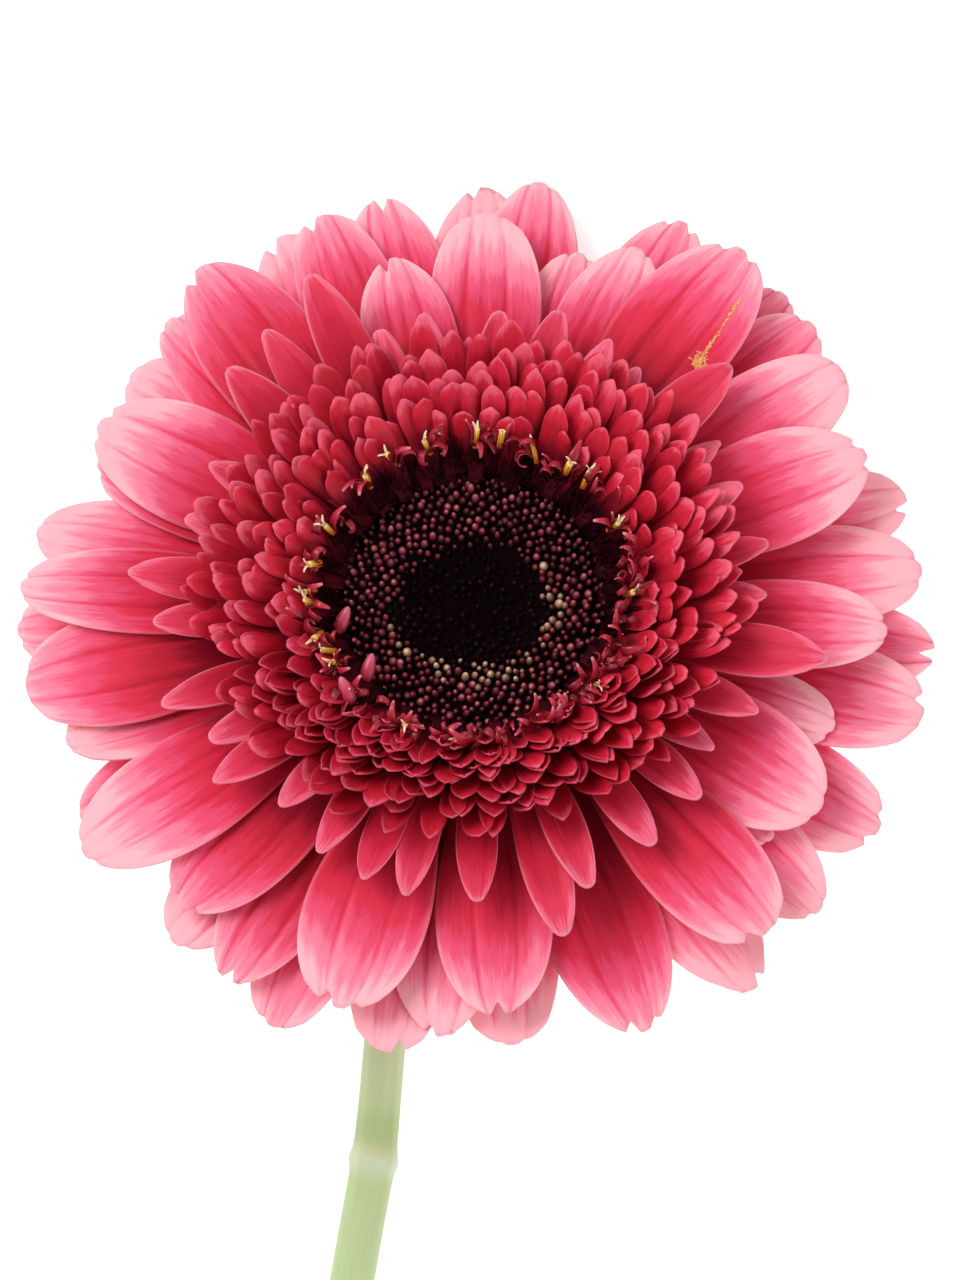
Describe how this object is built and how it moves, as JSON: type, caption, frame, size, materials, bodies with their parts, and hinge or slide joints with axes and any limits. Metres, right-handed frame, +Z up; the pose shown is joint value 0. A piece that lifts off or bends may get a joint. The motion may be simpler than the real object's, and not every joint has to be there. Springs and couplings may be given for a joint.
{
  "type": "cut gerbera",
  "caption": "Cut gerbera with a broad pink flower head, crimson ruff and dark eye on a bare green stem, lying on a flat surface.",
  "frame": {"origin": "middle of the bounding box in plan, on the surface the flower lies on", "axes": "+Z up from the surface, +Y from the cut end of the stem towards the flower head, +X to the right when the head is looked at from above with the stem towards the viewer"},
  "size_m": [0.111, 0.3926, 0.0515],
  "materials": {
    "petal_pink": "matte",
    "petal_crimson": "matte",
    "disc_buds": "matte",
    "pappus_dark": "matte",
    "bract_green": "matte",
    "stem_green": "satin"
  },
  "bodies": {
    "root": {"ray_floret_01": "petal_pink", "ray_floret_02": "petal_pink", "ray_floret_03": "petal_pink", "ray_floret_04": "petal_pink", "ray_floret_05": "petal_pink", "ray_floret_06": "petal_pink", "ray_floret_07": "petal_pink", "ray_floret_08": "petal_pink", "ray_floret_09": "petal_pink", "ray_floret_10": "petal_pink", "ray_floret_11": "petal_pink", "ray_floret_12": "petal_pink", "ray_floret_13": "petal_pink", "ray_floret_14": "petal_pink", "ray_floret_15": "petal_pink", "ray_floret_16": "petal_pink", "ray_floret_17": "petal_pink", "ray_floret_18": "petal_pink", "ray_floret_19": "petal_pink", "ray_floret_20": "petal_pink", "ray_floret_21": "petal_pink", "ray_floret_22": "petal_pink", "ray_floret_23": "petal_pink", "ray_floret_24": "petal_pink", "ray_floret_25": "petal_pink", "ray_floret_26": "petal_pink", "ray_floret_27": "petal_pink", "ray_floret_28": "petal_pink", "ray_floret_29": "petal_pink", "ray_floret_30": "petal_pink", "ray_floret_31": "petal_pink", "ray_floret_32": "petal_pink", "ray_floret_33": "petal_pink", "ray_floret_34": "petal_pink", "ray_floret_35": "petal_pink", "ray_floret_36": "petal_pink", "ray_floret_37": "petal_pink", "ray_floret_38": "petal_pink", "ray_floret_39": "petal_pink", "ray_floret_40": "petal_pink", "ray_floret_41": "petal_pink", "ray_floret_42": "petal_pink", "ray_floret_43": "petal_pink", "ray_floret_44": "petal_pink", "ray_floret_45": "petal_pink", "ray_floret_46": "petal_pink", "ray_floret_47": "petal_pink", "ray_floret_48": "petal_pink", "ray_floret_49": "petal_pink", "florets_inner_ray": "petal_pink", "florets_crest_1": "petal_crimson", "florets_crest_2": "petal_crimson", "florets_crest_3": "petal_crimson", "florets_crest_4": "petal_crimson", "florets_crest_5": "petal_crimson", "disc_florets": "disc_buds", "pappus_fringe": "pappus_dark", "bracts_inner": "bract_green", "bracts_outer": "bract_green", "scape": "stem_green"}
  },
  "joints": []
}
